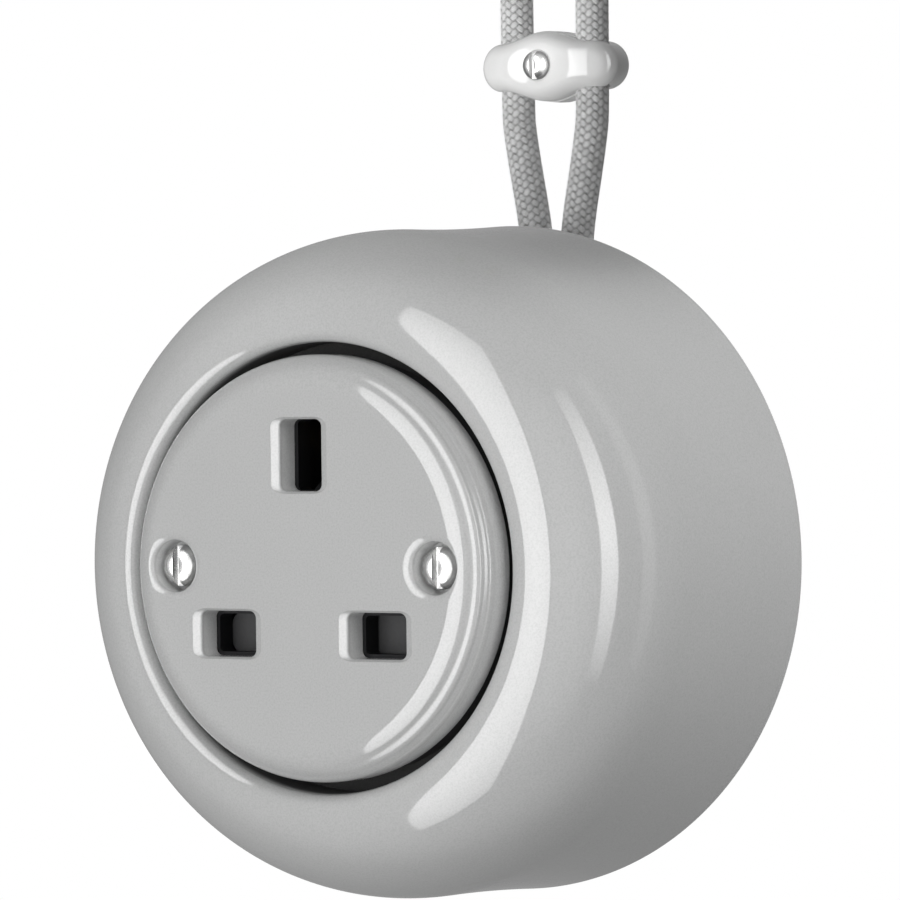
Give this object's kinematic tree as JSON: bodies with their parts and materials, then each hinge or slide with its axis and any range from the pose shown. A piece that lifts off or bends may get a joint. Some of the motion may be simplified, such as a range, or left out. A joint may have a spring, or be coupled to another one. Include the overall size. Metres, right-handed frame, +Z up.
{
  "type": "porcelain surface socket",
  "caption": "Round porcelain surface socket with a three-pin face disc, sprung shutter, slotted screws, textile cables from above and a porcelain cable clamp.",
  "frame": {"origin": "where the socket's axis meets the wall, on the flat back of the housing", "axes": "+Z up, +Y into the wall, the face looks along -Y, +X to the right as seen from the front"},
  "size_m": [0.0864, 0.0705, 0.1472],
  "materials": {
    "porcelain": "pale grey glaze with fine speckle, glossy",
    "white_porcelain": "white glaze, glossy",
    "plated_screw": "bright nickel plate",
    "black_moulding": "satin black thermoset",
    "shutter_moulding": "satin dark grey",
    "brass": "plain brass",
    "spring_steel": "drawn wire",
    "cable_braid": "grey textile braid, herringbone",
    "live_insulation": "brown insulation",
    "neutral_insulation": "blue insulation",
    "earth_insulation": "green insulation with a yellow stripe",
    "copper": "bare copper strands",
    "end_sleeve": "shrunk black sleeve"
  },
  "bodies": {
    "socket": {"housing": "porcelain", "face_disc": "porcelain", "face_screws": "plated_screw", "insert_cover": "black_moulding", "insert_base": "black_moulding", "face_bushes": "brass", "pillars": "brass", "pillar_screws": "plated_screw", "insert_screws": "plated_screw", "shutter_spring": "spring_steel", "live_contact": "brass", "neutral_contact": "brass", "earth_contact": "brass", "live_terminal": "brass", "neutral_terminal": "brass", "earth_terminal": "brass", "terminal_screws": "plated_screw", "clamp_front": "white_porcelain", "clamp_rear": "white_porcelain", "clamp_screw": "plated_screw", "left_cable": "cable_braid", "right_cable": "cable_braid", "live_cores": "live_insulation", "neutral_cores": "neutral_insulation", "earth_cores": "earth_insulation", "core_ends": "copper", "end_sleeves": "end_sleeve", "live_tails": "live_insulation", "neutral_tails": "neutral_insulation", "earth_tails": "earth_insulation", "tail_tips": "copper"},
    "shutter": {"shutter": "shutter_moulding"}
  },
  "joints": [
    {"name": "shutter_slide", "type": "slide", "parent": "socket", "child": "shutter", "axis": [0, 0, -1], "range_m": [0, 0.0049], "stiffness_N_per_m": 150, "springref_m": -0.004, "deforming": ["shutter_spring"]}
  ]
}
